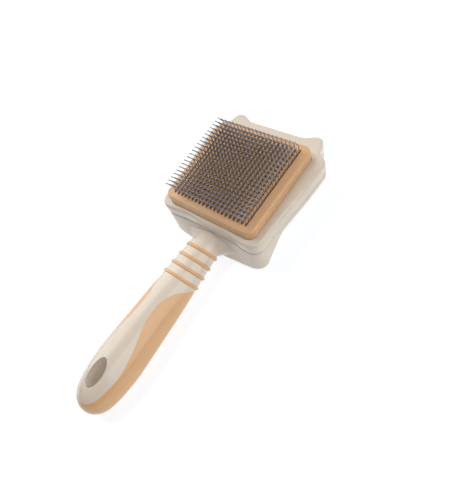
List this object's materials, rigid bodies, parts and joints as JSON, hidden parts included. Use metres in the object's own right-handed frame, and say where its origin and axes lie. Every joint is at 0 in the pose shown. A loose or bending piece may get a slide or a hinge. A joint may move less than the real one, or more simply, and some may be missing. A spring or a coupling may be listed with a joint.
{
  "type": "slicker brush",
  "caption": "Pet grooming slicker brush: square pad of bent wire pins, a slotted plate pushed out by a back button, and a rubber-gripped handle with a hanging hole.",
  "frame": {"origin": "middle of the cleaning plate's top face, with the plate retracted", "axes": "+X across the head, +Y from the handle to the ears, +Z the way the pins stand"},
  "size_m": [0.0768, 0.1938, 0.0435],
  "materials": {
    "shell_cream": "smooth moulded ABS with a soft gloss",
    "accent_plastic": "satin moulded ABS",
    "grip_rubber": "satin thermoplastic rubber",
    "base_plastic": "plain moulded",
    "pin_steel": "drawn stainless wire",
    "spring_steel": "drawn wire",
    "screw_steel": "zinc plated",
    "pad_rubber": "foam rubber"
  },
  "bodies": {
    "housing": {"front_bezel": "shell_cream", "back_cover": "shell_cream", "handle_core": "shell_cream", "grip_overmold": "grip_rubber", "neck_ring_1": "grip_rubber", "neck_ring_2": "grip_rubber", "neck_ring_3": "grip_rubber", "neck_ring_4": "grip_rubber", "pin_base": "base_plastic", "pin_backing": "base_plastic", "bristle_pins": "pin_steel", "rest_pads": "pad_rubber", "pin_base_screw_1": "screw_steel", "return_spring_1": "spring_steel", "pin_base_screw_2": "screw_steel", "return_spring_2": "spring_steel", "pin_base_screw_3": "screw_steel", "return_spring_3": "spring_steel", "pin_base_screw_4": "screw_steel", "return_spring_4": "spring_steel", "tenon_screw_1": "screw_steel", "tenon_screw_2": "screw_steel"},
    "pusher": {"cleaning_plate": "accent_plastic", "pusher_yoke": "shell_cream", "push_button": "accent_plastic", "button_screw_1": "screw_steel", "button_screw_2": "screw_steel"}
  },
  "joints": [
    {"name": "clean_slide", "type": "slide", "parent": "housing", "child": "pusher", "axis": [0, 0, 1], "range_m": [0, 0.006], "stiffness_N_per_m": 180, "springref_m": -0.012, "deforming": ["return_spring_1", "return_spring_2", "return_spring_3", "return_spring_4"]}
  ]
}
